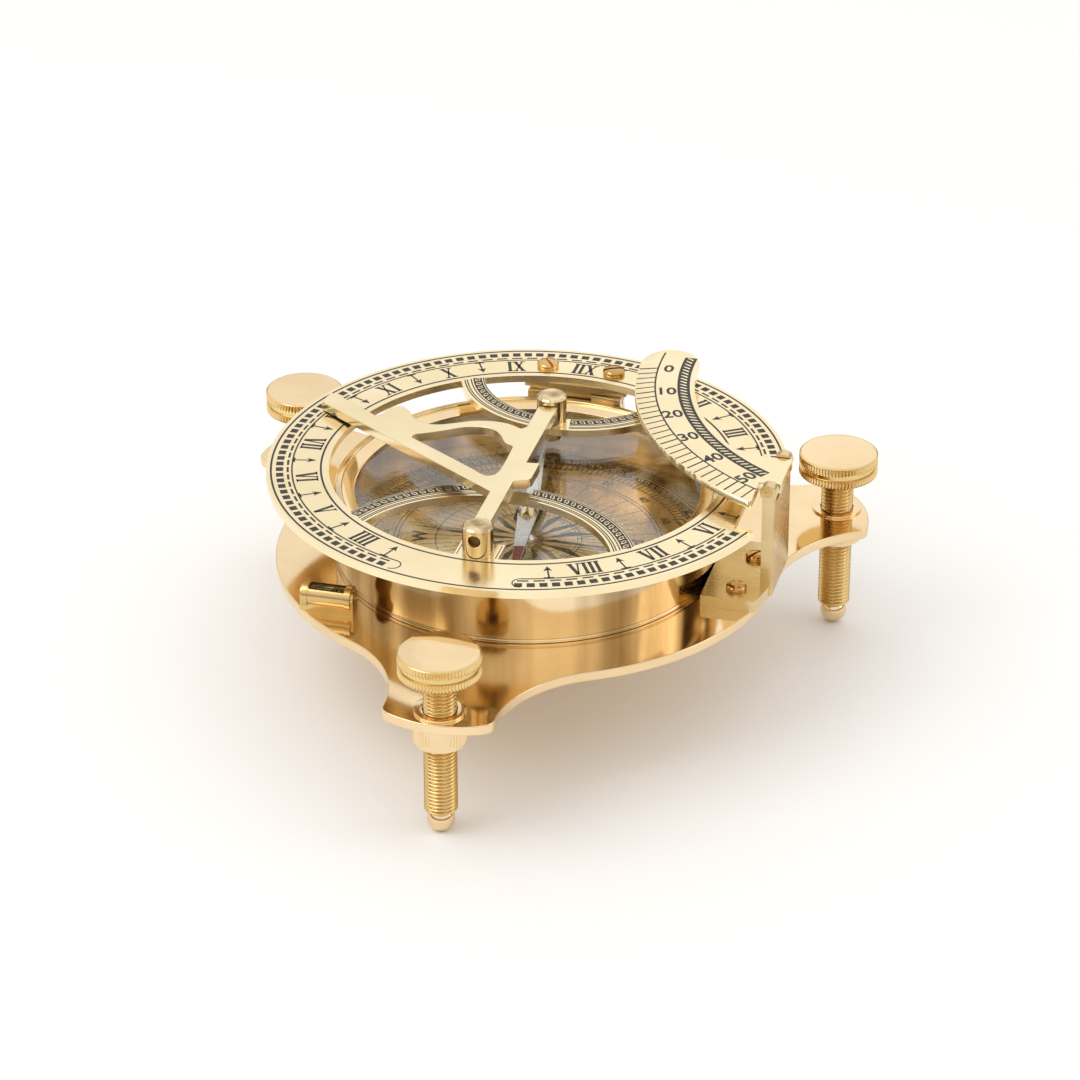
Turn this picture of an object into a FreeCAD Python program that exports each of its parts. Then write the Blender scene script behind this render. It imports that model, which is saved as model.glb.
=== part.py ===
import FreeCAD, Part
import math
import os

V = FreeCAD.Vector
UP = V(0, 0, 1)

# Overall
ring_dia = 127.0
foot_circle_r = 80.0
ear_angles = {"front": -90.0, "right": 30.0, "left": 150.0}

# Base plate
plate_top = 32.2
plate_thick = 2.5
plate_r = 61.8
ear_half = 13.4
ear_neck_r = 30.0
ear_end_r = 26.0
ear_reach = 86.9
ear_corner_r = 3.0

# Levelling screws
thread_r = 4.0
thread_clear = 0.08
screw_bottom = 5.6
knob_bottom = 42.1
knob_top = 47.9
knob_r = 9.75
ball_r = 3.3
spigot_r = 1.2

# Bushes
bush_flange_r = 6.15
bush_body_r = 5.0
bush_collar_r = 6.25
bush_flange_top = 32.75
bush_bottom = 24.0

# Compass bowl
bowl_r = 47.0
bowl_bore_r = 43.8
bowl_seat_r = 45.2
bowl_top = 50.5
seat_z = 47.5
bowl_floor = 33.4
card_top = 33.9
glass_top = 49.0

# Needle
needle_half = 40.0
needle_width = 5.0
needle_z = 40.8
needle_thick = 0.4
needle_azimuth = 97.7

# Hour ring
ring_top = 55.5
ring_thick = 1.8
ring_r = ring_dia / 2
ring_bore_r = 48.3
ring_bottom = ring_top - ring_thick

# Gnomon
post_r = 3.75
post_north_y = 23.6
post_south_y = -45.9
post_top = 63.0
axle_z = 60.2
gnomon_thick = 2.4
gnomon_tilt = 3.4

# Latitude arc
arc_centre = V(93.0, 54.0, 0)
arc_inner_r = 62.2
arc_outer_r = 77.0
arc_top = 61.1
arc_bottom = 58.7
arc_pin_x = 61.35
arc_pin_z = 59.9
bracket_foot = 3.0

# Ring hinge
hinge_y = 49.3
hinge_z = 50.2
hinge_pin_r = 0.9


def cyl(radius, z0, z1, x=0.0, y=0.0):
    return Part.makeCylinder(radius, z1 - z0, V(x, y, z0))


def tube(outer, inner, z0, z1, x=0.0, y=0.0):
    return cyl(outer, z0, z1, x, y).cut(cyl(inner, z0 - 1, z1 + 1, x, y))


def box(x0, x1, y0, y1, z0, z1):
    return Part.makeBox(x1 - x0, y1 - y0, z1 - z0, V(x0, y0, z0))


def rod_x(radius, x0, x1, y, z):
    return Part.makeCylinder(radius, x1 - x0, V(x0, y, z), V(1, 0, 0))


def rod_y(radius, y0, y1, x, z):
    return Part.makeCylinder(radius, y1 - y0, V(x, y0, z), V(0, 1, 0))


def turned(profile, x=0.0, y=0.0):
    """Solid of revolution about a vertical axis from (radius, height) corners."""
    points = [V(r, 0, z) for r, z in profile]
    face = Part.Face(Part.makePolygon(points + [points[0]]))
    solid = face.revolve(V(0, 0, 0), UP, 360)
    solid.translate(V(x, y, 0))
    return solid


def prism(points, z0, z1):
    corners = [V(x, y, z0) for x, y in points]
    face = Part.Face(Part.makePolygon(corners + [corners[0]]))
    return face.extrude(V(0, 0, z1 - z0))


def polar(radius, degrees):
    a = math.radians(degrees)
    return V(radius * math.cos(a), radius * math.sin(a), 0)


def slotted_screw(x, y, head_z, head_h, head_r, shank_r, shank_z, slot_deg):
    """Cheese-head screw standing on head_z, shank down to shank_z."""
    top = head_z + head_h
    screw = cyl(head_r, head_z, top, x, y)
    edge = [e for e in screw.Edges if e.Vertexes[0].Z > top - 0.01 and len(e.Vertexes) == 1]
    screw = screw.makeFillet(0.35, edge)
    screw = screw.fuse(cyl(shank_r, shank_z, head_z, x, y))
    slot = box(-head_r - 1, head_r + 1, -0.35, 0.35, top - 0.8, top + 1)
    slot.rotate(V(0, 0, 0), UP, slot_deg)
    slot.translate(V(x, y, 0))
    return screw.cut(slot)


def save(name, shapes):
    solids = []
    for shape in shapes:
        solids.extend(shape.removeSplitter().Solids)
    result = solids[0] if len(solids) == 1 else Part.makeCompound(solids)
    result.exportStep("parts/" + name + ".step")


def ear(degrees):
    """One plate ear with concave necks running into the round of the plate."""
    neck_x = math.sqrt((plate_r + ear_neck_r) ** 2 - (ear_half + ear_neck_r) ** 2)
    neck_y = ear_half + ear_neck_r
    end_x = ear_reach - ear_end_r
    corner_x = end_x + math.sqrt(ear_end_r ** 2 - ear_half ** 2)
    touch = V(neck_x, neck_y, 0) * (plate_r / (plate_r + ear_neck_r))
    middle = V(neck_x, neck_y, 0) + polar(ear_neck_r, -105)
    edges = []
    for side in (1, -1):
        a = V(touch.x, side * touch.y, 0)
        m = V(middle.x, side * middle.y, 0)
        b = V(neck_x, side * ear_half, 0)
        c = V(corner_x, side * ear_half, 0)
        edges.append(Part.Arc(a, m, b).toShape())
        edges.append(Part.makeLine(b, c))
    top = V(corner_x, ear_half, 0)
    bottom = V(corner_x, -ear_half, 0)
    edges.append(Part.Arc(top, V(ear_reach, 0, 0), bottom).toShape())
    edges.append(Part.makeLine(V(touch.x, touch.y, 0), V(touch.x, -touch.y, 0)))
    wire = Part.Wire(Part.__sortEdges__(edges))
    solid = Part.Face(wire).extrude(V(0, 0, plate_thick))
    corners = []
    for e in solid.Edges:
        p = e.CenterOfMass
        upright = abs(e.BoundBox.ZLength - plate_thick) < 0.01 and e.BoundBox.DiagonalLength < plate_thick + 0.1
        if upright and abs(p.x - corner_x) < 0.1:
            corners.append(e)
    solid = solid.makeFillet(ear_corner_r, corners)
    solid.rotate(V(0, 0, 0), UP, degrees)
    solid.translate(V(0, 0, plate_top - plate_thick))
    return solid


def base_plate():
    plate = cyl(plate_r, plate_top - plate_thick, plate_top)
    for degrees in ear_angles.values():
        plate = plate.fuse(ear(degrees))
    plate = plate.removeSplitter()
    for degrees in ear_angles.values():
        p = polar(foot_circle_r, degrees)
        plate = plate.cut(cyl(bush_body_r, 20, 40, p.x, p.y))
    for x, y in bowl_screw_places():
        plate = plate.cut(bowl_screw(x, y))
    for x, y in bracket_screw_places():
        plate = plate.cut(cyl(1.5, 20, 40, x, y))
    for x in (-9.0, 9.0):
        plate = plate.cut(cyl(1.2, 20, 40, x, 56.8))
    for x, y in level_screw_places():
        plate = plate.cut(level_screw(x, y))
    return plate


def bush(x, y):
    bore = thread_r + thread_clear
    return turned([
        (bore, bush_bottom),
        (bush_collar_r - 0.3, bush_bottom),
        (bush_collar_r, bush_bottom + 0.3),
        (bush_collar_r, plate_top - plate_thick),
        (bush_body_r, plate_top - plate_thick),
        (bush_body_r, plate_top),
        (bush_flange_r, plate_top),
        (bush_flange_r, bush_flange_top),
        (bore, bush_flange_top),
    ], x, y)


def foot_ball(x, y):
    ball = Part.makeSphere(ball_r, V(x, y, ball_r))
    ball = ball.common(cyl(ball_r + 1, -1, screw_bottom - 0.05, x, y))
    spigot = cyl(spigot_r, ball_r, screw_bottom + 4, x, y)
    return ball.fuse(spigot)


def levelling_screw(x, y):
    rod = turned([
        (0, screw_bottom),
        (thread_r - 0.6, screw_bottom),
        (thread_r, screw_bottom + 0.6),
        (thread_r, knob_bottom),
        (2.5, knob_bottom),
        (2.5, knob_top - 1.2),
        (0, knob_top - 1.2),
    ], x, y)
    return rod.cut(cyl(spigot_r + 0.06, 0, screw_bottom + 4.1, x, y))


def screw_knob(x, y):
    groove_low = knob_bottom + 2.2
    groove_high = groove_low + 1.3
    return turned([
        (2.5, knob_bottom),
        (knob_r - 0.4, knob_bottom),
        (knob_r, knob_bottom + 0.3),
        (knob_r, groove_low),
        (knob_r - 0.4, groove_low + 0.1),
        (knob_r - 0.4, groove_high - 0.1),
        (knob_r, groove_high),
        (knob_r, knob_top - 0.3),
        (knob_r - 0.4, knob_top),
        (0, knob_top),
        (0, knob_top - 1.2),
        (2.5, knob_top - 1.2),
    ], x, y)


def compass_bowl():
    bowl = turned([
        (0, plate_top),
        (bowl_r, plate_top),
        (bowl_r, bowl_top - 0.2),
        (bowl_r - 0.2, bowl_top),
        (bowl_seat_r, bowl_top),
        (bowl_seat_r, seat_z),
        (bowl_bore_r, seat_z),
        (bowl_bore_r, bowl_floor),
        (0, bowl_floor),
    ])
    for x, y in bowl_screw_places():
        bowl = bowl.cut(bowl_screw(x, y))
    return bowl


def bowl_screw_places():
    places = [polar(38.0, a) for a in (-90, 30, 150)]
    return [(p.x, p.y) for p in places]


def bowl_screw(x, y):
    low = plate_top - plate_thick
    return turned([
        (0, low),
        (2.4, low),
        (1.25, low + 1.2),
        (1.25, plate_top + 1.0),
        (0, plate_top + 1.0),
    ], x, y)


def compass_card():
    return tube(bowl_bore_r - 0.3, 2.2, bowl_floor, card_top)


def needle_pivot():
    return turned([
        (0, bowl_floor),
        (2.1, bowl_floor),
        (2.1, bowl_floor + 1.2),
        (0.9, bowl_floor + 2.0),
        (0.5, 39.0),
        (0.4, 41.3),
        (0.1, 41.7),
        (0, 41.7),
    ])


def cover_glass():
    return cyl(bowl_seat_r - 0.1, seat_z, glass_top)


def glass_bezel():
    return turned([
        (42.1, glass_top),
        (bowl_seat_r, glass_top),
        (bowl_seat_r, 50.2),
        (42.4, 49.4),
        (42.1, 49.2),
    ])


def compass_needle():
    blade = prism([
        (needle_half, 0),
        (0, needle_width / 2),
        (-needle_half, 0),
        (0, -needle_width / 2),
    ], needle_z, needle_z + needle_thick)
    blade = blade.cut(cyl(1.4, 30, 50))
    blade.rotate(V(0, 0, 0), UP, needle_azimuth)
    return blade


def needle_cap():
    return turned([
        (0.8, 40.0),
        (1.4, 40.0),
        (1.4, 41.2),
        (2.3, 41.2),
        (2.3, 41.6),
        (1.7, 42.5),
        (0.6, 43.1),
        (0, 43.2),
        (0, 41.9),
        (0.5, 41.9),
        (0.8, 41.6),
    ])


def level_screw_places():
    return [(-41.0, -41.0), (-36.0, -41.0), (-41.0, 34.5), (-41.0, 39.5)]


def level_screw(x, y):
    low = plate_top - plate_thick
    return turned([
        (0, low),
        (1.9, low),
        (1.0, low + 0.9),
        (1.0, plate_top + 0.8),
        (0, plate_top + 0.8),
    ], x, y)


def level_pair():
    """Holder and vial lying along X, centred on the origin, foot on the plate."""
    z = plate_top + 3.7
    body = rod_x(3.1, -6.6, 6.6, 0, z)
    foot = box(-6.6, 6.6, -2.1, 2.1, plate_top, z)
    body = body.fuse(foot)
    body = body.cut(rod_x(2.3, -5.4, 5.4, 0, z))
    window = box(-4.4, 4.4, -1.9, 1.9, z, z + 6)
    body = body.cut(window)
    body = body.cut(rod_x(2.3, 5.0, 7.0, 0, z))
    plug = rod_x(2.3, 5.4, 6.6, 0, z)
    vial = rod_x(2.25, -5.3, 5.3, 0, z)
    return body.fuse(plug), vial


def levels():
    holder, vial = level_pair()
    south = []
    west = []
    for shape in (holder, vial):
        a = shape.copy()
        a.translate(V(-38.5, -41.0, 0))
        south.append(a)
        b = shape.copy()
        b.rotate(V(0, 0, 0), UP, 90)
        b.translate(V(-41.0, 37.0, 0))
        west.append(b)
    for x, y in level_screw_places():
        hole = cyl(1.0, plate_top - 1, plate_top + 0.8, x, y)
        south[0] = south[0].cut(hole)
        west[0] = west[0].cut(hole)
    return south, west


def bracket_screw_places():
    return [(54.9, -12.2), (56.2, 3.9)]


def arc_bracket():
    top = plate_top + bracket_foot
    foot = box(47.2, arc_pin_x + 1.45, -17.5, 12, plate_top, top)
    foot = foot.common(cyl(62.9, plate_top, top)).cut(cyl(bowl_r + 0.1, 30, 60))
    post = box(arc_pin_x - 1.45, arc_pin_x + 1.45, -8.5, 11, plate_top, arc_pin_z)
    ears = rod_y(2.1, -8.5, 11, arc_pin_x, arc_pin_z)
    bracket = foot.fuse([post, ears]).removeSplitter()
    bracket = bracket.cut(box(50, 70, -5.7, 8.2, 56.6, 70))
    bracket = bracket.cut(rod_y(0.9, -10, 12, arc_pin_x, arc_pin_z))
    for x, y in bracket_screw_places():
        bracket = bracket.cut(cyl(1.5, 30, 40, x, y))
    return bracket


def latitude_arc():
    """Flat band lying on its side; the tongue runs into the fork of the bracket."""
    c = arc_centre
    z0 = arc_bottom
    z1 = arc_top
    band = tube(arc_outer_r, arc_inner_r, z0, z1, c.x, c.y)
    a0 = -178.2
    a1 = -110.0
    wedge = [(c.x, c.y)]
    for k in range(6):
        p = c + polar(110, a0 + (a1 - a0) * k / 5)
        wedge.append((p.x, p.y))
    band = band.common(prism(wedge, z0, z1))
    mid = (arc_inner_r + arc_outer_r) / 2
    tip = c + polar(mid, a0)
    band = band.fuse(cyl((arc_outer_r - arc_inner_r) / 2, z0, z1, tip.x, tip.y))
    keep = box(0, 58.4, -40, 80, z0, z1).fuse(box(0, arc_pin_x + 2.4, -5.4, 7.9, z0, z1))
    tongue = box(50, arc_pin_x + 2.4, -5.4, 7.9, z0, z1)
    arc = band.common(keep).fuse(tongue).removeSplitter()
    bevel = turned([
        (arc_outer_r - 4.8, z1),
        (arc_outer_r + 1, z1 - 0.9),
        (arc_outer_r + 1, z1 + 2),
        (arc_outer_r - 4.8, z1 + 2),
    ], c.x, c.y)
    arc = arc.cut(bevel.cut(box(58, 70, -6, 9, 50, 70)))
    return arc.cut(rod_y(0.96, -10, 12, arc_pin_x, arc_pin_z))


def arc_hinge_pin():
    return rod_y(0.9, -8.6, 11.1, arc_pin_x, arc_pin_z)


def ring_hinge_bracket():
    """Angle plate standing on the base behind the bowl, with two outer knuckles."""
    foot = box(-13, 13, 47, 60.2, plate_top, plate_top + 2.0)
    foot = foot.common(cyl(plate_r, 30, 60))
    wall = box(-12.0, 12.0, 47, hinge_y + 1.6, plate_top, hinge_z)
    wall = wall.cut(cyl(bowl_r + 0.1, 30, 60))
    foot = foot.cut(cyl(bowl_r + 0.1, 30, 60))
    barrel = rod_x(1.6, -12.0, 12.0, hinge_y, hinge_z)
    front = box(-12.0, 12.0, 47, hinge_y, hinge_z - 3, hinge_z + 1.6)
    body = foot.fuse([wall, barrel, front])
    body = body.cut(box(-4.2, 4.2, 46, 60, hinge_z - 2.0, 60))
    body = body.cut(cyl(bowl_r + 0.1, 30, 60))
    for x in (-9.0, 9.0):
        body = body.cut(cyl(1.2, 30, 40, x, 56.8))
    return body.cut(rod_x(hinge_pin_r, -13, 13, hinge_y, hinge_z))


def ring_hinge_pin():
    return rod_x(hinge_pin_r, -12.2, 12.2, hinge_y, hinge_z)


def ring_hinge_leaf():
    leaf = box(-13.2, 13.2, 47.7, 58.0, ring_bottom - 1.5, ring_bottom)
    knuckle = rod_x(1.6, -4.0, 4.0, hinge_y, hinge_z)
    web = box(-4.0, 4.0, hinge_y - 1.6, hinge_y + 1.6, hinge_z, ring_bottom)
    body = leaf.fuse([knuckle, web])
    body = body.cut(rod_x(hinge_pin_r + 0.05, -14, 14, hinge_y, hinge_z))
    for x in (-8.6, 8.6):
        body = body.cut(cyl(1.2, 50, 56, x, 53.4))
    return body


def hour_ring():
    ring = tube(ring_r, ring_bore_r, ring_bottom, ring_top)
    inside = cyl(ring_bore_r + 0.5, ring_bottom, ring_top)
    upper = tube(30.3, 24.3, ring_bottom, ring_top, 0.8, 50.0).common(inside)
    lower = tube(38.2, 32.3, ring_bottom, ring_top, 0, -50.0).common(inside)
    tab = box(-5.3, 5.3, -49, -41, ring_bottom, ring_top)
    pad = cyl(3.9, ring_bottom, ring_top, 0, post_north_y)
    ring = ring.fuse([upper, lower, tab, pad])
    ring = ring.cut(box(55.3, 70, -19.5, 12, 50, 60))
    ring = ring.cut(box(-1.8, 4.8, -20, -8, ring_bottom + 0.45, 60))
    for y in (post_north_y, post_south_y):
        ring = ring.cut(cyl(1.8, 50, 60, 0, y))
    for x in (-8.6, 8.6):
        ring = ring.cut(cyl(1.2, 50, 60, x, 53.4))
    return ring


def gnomon_post(y):
    """Turned post riveted through the ring; the pivot hole faces the gnomon."""
    post = turned([
        (0, ring_bottom - 2.7),
        (2.2, ring_bottom - 2.7),
        (2.45, ring_bottom - 2.4),
        (2.45, ring_bottom),
        (1.8, ring_bottom),
        (1.8, ring_top),
        (post_r, ring_top),
        (post_r, post_top - 0.5),
        (post_r - 0.5, post_top),
        (0, post_top),
    ], 0, y)
    return post.cut(rod_y(1.5, y - 5, y + 5, 0, axle_z))


def gnomon_pins():
    pins = []
    for y, side in ((post_north_y, -1), (post_south_y, 1)):
        outer = y - side * (post_r - 1.4)
        inner = y + side * post_r
        tip = inner + side * 2.4
        body = rod_y(1.5, min(outer, inner), max(outer, inner), 0, axle_z)
        nose = rod_y(0.8, min(inner, tip), max(inner, tip), 0, axle_z)
        pins.append(body.fuse(nose))
    return pins


def gnomon_frame():
    """Flat pierced plate: axle bar, scrolled strut and the long style bar."""
    north = post_north_y - post_r - 0.1
    south = post_south_y + post_r + 0.1
    outline = [
        V(-2.4, south, 0),
        V(1.8, south, 0),
        V(1.8, -20.0, 0),
        V(5.0, -19.0, 0),
        V(5.7, -18.0, 0),
        V(5.7, -10.2, 0),
        V(2.4, -10.2, 0),
        V(2.4, north, 0),
        V(-2.4, north, 0),
    ]
    scroll = [
        V(-2.4, 8.5, 0), V(-3.5, 7.4, 0), V(-5.0, 8.3, 0), V(-8.0, 9.8, 0), V(-12.0, 10.4, 0),
        V(-16.0, 10.0, 0), V(-19.0, 8.8, 0), V(-22.0, 7.5, 0), V(-25.0, 6.7, 0), V(-28.5, 7.2, 0),
        V(-31.8, 10.2, 0), V(-33.5, 13.0, 0), V(-36.0, 15.3, 0), V(-38.2, 14.7, 0), V(-39.3, 13.0, 0),
        V(-39.9, 10.8, 0), V(-41.2, 9.6, 0), V(-43.0, 11.0, 0),
    ]
    curve = Part.BSplineCurve()
    curve.interpolate(scroll)
    edges = [Part.makeLine(outline[i], outline[i + 1]) for i in range(len(outline) - 1)]
    edges.append(Part.makeLine(outline[-1], scroll[0]))
    edges.append(curve.toShape())
    bar = [V(-43.0, 11.0, 0), V(-51.7, 17.7, 0), V(-56.0, 20.5, 0), V(-57.0, 15.3, 0), V(-2.4, -26.0, 0)]
    edges += [Part.makeLine(bar[i], bar[i + 1]) for i in range(len(bar) - 1)]
    edges.append(Part.makeLine(bar[-1], outline[0]))
    body = Part.Face(Part.Wire(edges)).extrude(V(0, 0, gnomon_thick))
    rim = [
        V(-28.9, -0.6, 0), V(-28.5, 1.0, 0), V(-26.0, 2.0, 0), V(-22.0, 4.0, 0), V(-18.0, 6.2, 0),
        V(-14.0, 6.9, 0), V(-11.0, 6.4, 0), V(-9.0, 5.0, 0), V(-7.5, 3.0, 0), V(-5.6, -0.4, 0),
        V(-3.4, -2.0, 0), V(-3.0, -4.0, 0), V(-3.0, -15.5, 0), V(-4.8, -18.2, 0), V(-7.0, -17.4, 0),
        V(-10.0, -15.0, 0), V(-20.0, -7.5, 0), V(-27.6, -1.9, 0),
    ]
    loop = Part.BSplineCurve()
    loop.interpolate(rim, True)
    hole = Part.Face(Part.Wire([loop.toShape()])).extrude(V(0, 0, gnomon_thick + 2))
    hole.translate(V(0, 0, -1))
    body = body.cut(hole)
    body.translate(V(0, 0, axle_z - gnomon_thick / 2))
    for y in (north, south):
        body = body.cut(rod_y(0.85, y - 2.6, y + 2.6, 0, axle_z))
    body.rotate(V(0, 0, axle_z), V(0, 1, 0), -gnomon_tilt)
    return body


def main():
    os.makedirs("parts", exist_ok=True)
    save("base_plate", [base_plate()])
    for name, degrees in ear_angles.items():
        p = polar(foot_circle_r, degrees)
        save("bush_" + name, [bush(p.x, p.y)])
        save("foot_ball_" + name, [foot_ball(p.x, p.y)])
        save("levelling_screw_" + name, [levelling_screw(p.x, p.y)])
        save("screw_knob_" + name, [screw_knob(p.x, p.y)])
    save("compass_bowl", [compass_bowl()])
    save("bowl_screws", [bowl_screw(x, y) for x, y in bowl_screw_places()])
    save("compass_card", [compass_card()])
    save("needle_pivot", [needle_pivot()])
    save("cover_glass", [cover_glass()])
    save("glass_bezel", [glass_bezel()])
    save("compass_needle", [compass_needle()])
    save("needle_cap", [needle_cap()])
    south, west = levels()
    save("level_holder_south", [south[0]])
    save("level_vial_south", [south[1]])
    save("level_holder_west", [west[0]])
    save("level_vial_west", [west[1]])
    save("level_screws", [level_screw(x, y) for x, y in level_screw_places()])
    save("arc_bracket", [arc_bracket()])
    head_z = plate_top + bracket_foot
    low = plate_top - plate_thick
    save("arc_bracket_screws", [
        slotted_screw(x, y, head_z, 1.4, 2.45, 1.5, low, 35) for x, y in bracket_screw_places()
    ])
    save("arc_hinge_pin", [arc_hinge_pin()])
    save("latitude_arc", [latitude_arc()])
    save("ring_hinge_bracket", [ring_hinge_bracket()])
    save("ring_hinge_bracket_screws", [
        slotted_screw(x, 56.8, plate_top + 2, 1.6, 2.2, 1.2, low, 20) for x in (-9.0, 9.0)
    ])
    save("ring_hinge_pin", [ring_hinge_pin()])
    save("ring_hinge_leaf", [ring_hinge_leaf()])
    save("ring_hinge_screws", [
        slotted_screw(x, 53.4, ring_top, 1.5, 2.75, 1.2, ring_bottom - 1.5, angle)
        for x, angle in ((-8.6, 62), (8.6, 25))
    ])
    save("hour_ring", [hour_ring()])
    save("gnomon_post_north", [gnomon_post(post_north_y)])
    save("gnomon_post_south", [gnomon_post(post_south_y)])
    save("gnomon_pivot_pins", gnomon_pins())
    save("gnomon_frame", [gnomon_frame()])


main()
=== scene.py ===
import math
import random

import bpy
from mathutils import Matrix, Vector


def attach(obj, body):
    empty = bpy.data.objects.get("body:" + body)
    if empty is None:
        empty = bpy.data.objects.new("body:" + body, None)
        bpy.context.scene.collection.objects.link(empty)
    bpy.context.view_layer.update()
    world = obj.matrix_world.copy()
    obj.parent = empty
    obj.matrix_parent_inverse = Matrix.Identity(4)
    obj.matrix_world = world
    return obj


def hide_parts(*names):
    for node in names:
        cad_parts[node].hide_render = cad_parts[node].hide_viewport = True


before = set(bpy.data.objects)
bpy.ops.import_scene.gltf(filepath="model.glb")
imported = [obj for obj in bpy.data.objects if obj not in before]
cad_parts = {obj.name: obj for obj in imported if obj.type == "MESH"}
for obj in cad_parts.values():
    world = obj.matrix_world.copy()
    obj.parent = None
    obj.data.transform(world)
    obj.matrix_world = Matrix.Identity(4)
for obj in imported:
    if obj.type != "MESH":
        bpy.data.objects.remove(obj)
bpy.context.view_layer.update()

rng = random.Random(7)
MM = 0.001

# ---------------------------------------------------------------- sizes in mm
RING_TOP = 55.5
RING_BOTTOM = 53.7
ARC_X, ARC_Y = 93.0, 54.0
AXLE_Z = 60.2
TILT = math.radians(3.4)
EARS = {"front": -90.0, "right": 30.0, "left": 150.0}
TOP_HOUR = 89.0
HOUR_STEP = 18.75


# ---------------------------------------------------------------- materials
def new_material(name):
    mat = bpy.data.materials.new(name)
    mat.use_nodes = True
    nodes = mat.node_tree.nodes
    return mat, nodes, mat.node_tree.links, nodes["Principled BSDF"]


def brass(name, low, high, rough, rough_span, grain=(1, 1, 1), grain_scale=900, bump=0.06, tarnish_and_reflection_spread=0.25,
          streak_stretch=(1, 1, 1)):
    """Metal with uneven tone (tarnish, and on the bowl painted reflection streaks), varying gloss and fine
    scratches along one direction.
    """
    mat, nodes, links, bsdf = new_material(name)
    coord = nodes.new("ShaderNodeTexCoord")
    wide = nodes.new("ShaderNodeTexNoise")
    wide.inputs["Scale"].default_value = 55
    wide.inputs["Detail"].default_value = 5
    # The tone pattern can be stretched along one axis; on the bowl its dark streaks are painted reflection,
    # not tarnish.
    streak_map = nodes.new("ShaderNodeMapping")
    streak_map.inputs["Scale"].default_value = streak_stretch
    links.new(coord.outputs["Object"], streak_map.inputs["Vector"])
    links.new(streak_map.outputs["Vector"], wide.inputs["Vector"])
    ramp = nodes.new("ShaderNodeValToRGB")
    ramp.color_ramp.elements[0].position = 0.5 - tarnish_and_reflection_spread
    ramp.color_ramp.elements[1].position = 0.5 + tarnish_and_reflection_spread
    ramp.color_ramp.elements[0].color = (*low, 1)
    ramp.color_ramp.elements[1].color = (*high, 1)
    links.new(wide.outputs["Fac"], ramp.inputs["Fac"])
    links.new(ramp.outputs["Color"], bsdf.inputs["Base Color"])
    mapping = nodes.new("ShaderNodeMapping")
    mapping.inputs["Scale"].default_value = grain
    links.new(coord.outputs["Object"], mapping.inputs["Vector"])
    fine = nodes.new("ShaderNodeTexNoise")
    fine.inputs["Scale"].default_value = grain_scale
    fine.inputs["Detail"].default_value = 3
    links.new(mapping.outputs["Vector"], fine.inputs["Vector"])
    spread = nodes.new("ShaderNodeMapRange")
    spread.inputs["To Min"].default_value = rough
    spread.inputs["To Max"].default_value = rough + rough_span
    links.new(fine.outputs["Fac"], spread.inputs["Value"])
    links.new(spread.outputs["Result"], bsdf.inputs["Roughness"])
    lift = nodes.new("ShaderNodeBump")
    lift.inputs["Strength"].default_value = bump
    lift.inputs["Distance"].default_value = 0.00005
    links.new(fine.outputs["Fac"], lift.inputs["Height"])
    links.new(lift.outputs["Normal"], bsdf.inputs["Normal"])
    bsdf.inputs["Metallic"].default_value = 1.0
    return mat


def filled(name, low, high, rough):
    """Wax or paint filling with small speckles."""
    mat, nodes, links, bsdf = new_material(name)
    coord = nodes.new("ShaderNodeTexCoord")
    noise = nodes.new("ShaderNodeTexNoise")
    noise.inputs["Scale"].default_value = 1400
    noise.inputs["Detail"].default_value = 4
    links.new(coord.outputs["Object"], noise.inputs["Vector"])
    ramp = nodes.new("ShaderNodeValToRGB")
    ramp.color_ramp.elements[0].color = (*low, 1)
    ramp.color_ramp.elements[1].color = (*high, 1)
    ramp.color_ramp.elements[0].position = 0.35
    ramp.color_ramp.elements[1].position = 0.75
    links.new(noise.outputs["Fac"], ramp.inputs["Fac"])
    links.new(ramp.outputs["Color"], bsdf.inputs["Base Color"])
    spread = nodes.new("ShaderNodeMapRange")
    spread.inputs["To Min"].default_value = rough
    spread.inputs["To Max"].default_value = rough + 0.2
    links.new(noise.outputs["Fac"], spread.inputs["Value"])
    links.new(spread.outputs["Result"], bsdf.inputs["Roughness"])
    return mat


def glass(name, tint, wobble):
    mat, nodes, links, bsdf = new_material(name)
    coord = nodes.new("ShaderNodeTexCoord")
    noise = nodes.new("ShaderNodeTexNoise")
    noise.inputs["Scale"].default_value = 60
    links.new(coord.outputs["Object"], noise.inputs["Vector"])
    spread = nodes.new("ShaderNodeMapRange")
    spread.inputs["To Min"].default_value = 0.0
    spread.inputs["To Max"].default_value = wobble
    links.new(noise.outputs["Fac"], spread.inputs["Value"])
    links.new(spread.outputs["Result"], bsdf.inputs["Roughness"])
    bsdf.inputs["Base Color"].default_value = (*tint, 1)
    bsdf.inputs["Transmission Weight"].default_value = 1.0
    bsdf.inputs["IOR"].default_value = 1.48
    return mat


THREAD_PITCH = 0.977                 # 26 threads per inch
THREAD_DEPTH = 0.58
STUDIO_LENS = 145.98                 # on a 36 mm wide sensor
CAMERA_PLACE = (0.2389, -0.9118, 0.5484)
CAMERA_TARGET = (-0.0038, 0.0266, 0.020)
LIT_POINT = (0, 0, 0.04)             # the lamps look at the middle of the bowl
FLOOR_HALF = 9000

M_POLISH = brass("brass_polished", (0.80, 0.60, 0.34), (0.93, 0.73, 0.46), 0.05, 0.07)
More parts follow.
